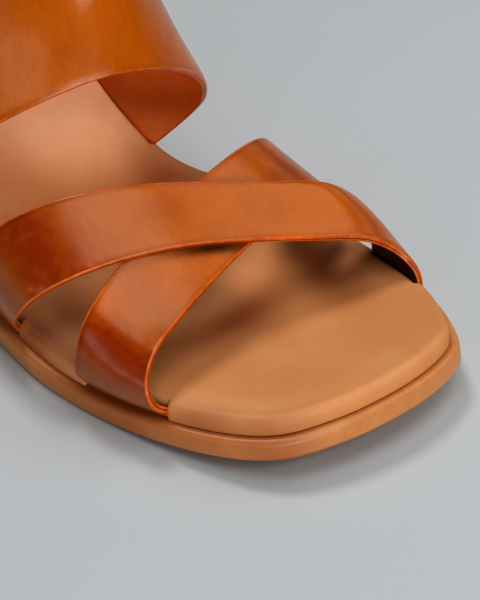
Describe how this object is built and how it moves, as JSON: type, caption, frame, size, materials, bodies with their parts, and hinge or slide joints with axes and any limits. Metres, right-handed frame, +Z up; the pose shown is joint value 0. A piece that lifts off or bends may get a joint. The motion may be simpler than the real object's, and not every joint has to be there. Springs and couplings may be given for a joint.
{
  "type": "leather sandal",
  "caption": "Heeled leather mule sandal for the right foot, with crossed vamp straps, a wide instep band, a padded footbed and a block heel.",
  "frame": {"origin": "middle of the sandal's bounding box on the floor it stands on", "axes": "+X from the heel to the toe, +Y to the inner side of the right foot, +Z up"},
  "size_m": [0.239, 0.0928, 0.1144],
  "materials": {
    "strap_leather": "smooth waxed pull-up leather with a soft gloss and burnished edges",
    "footbed_leather": "matt tan lining leather over thin padding",
    "sole_leather": "stained and waxed sole leather"
  },
  "bodies": {
    "root": {"outsole": "sole_leather", "footbed": "footbed_leather", "heel_block": "sole_leather", "vamp_straps": "strap_leather", "instep_band": "strap_leather"}
  },
  "joints": []
}
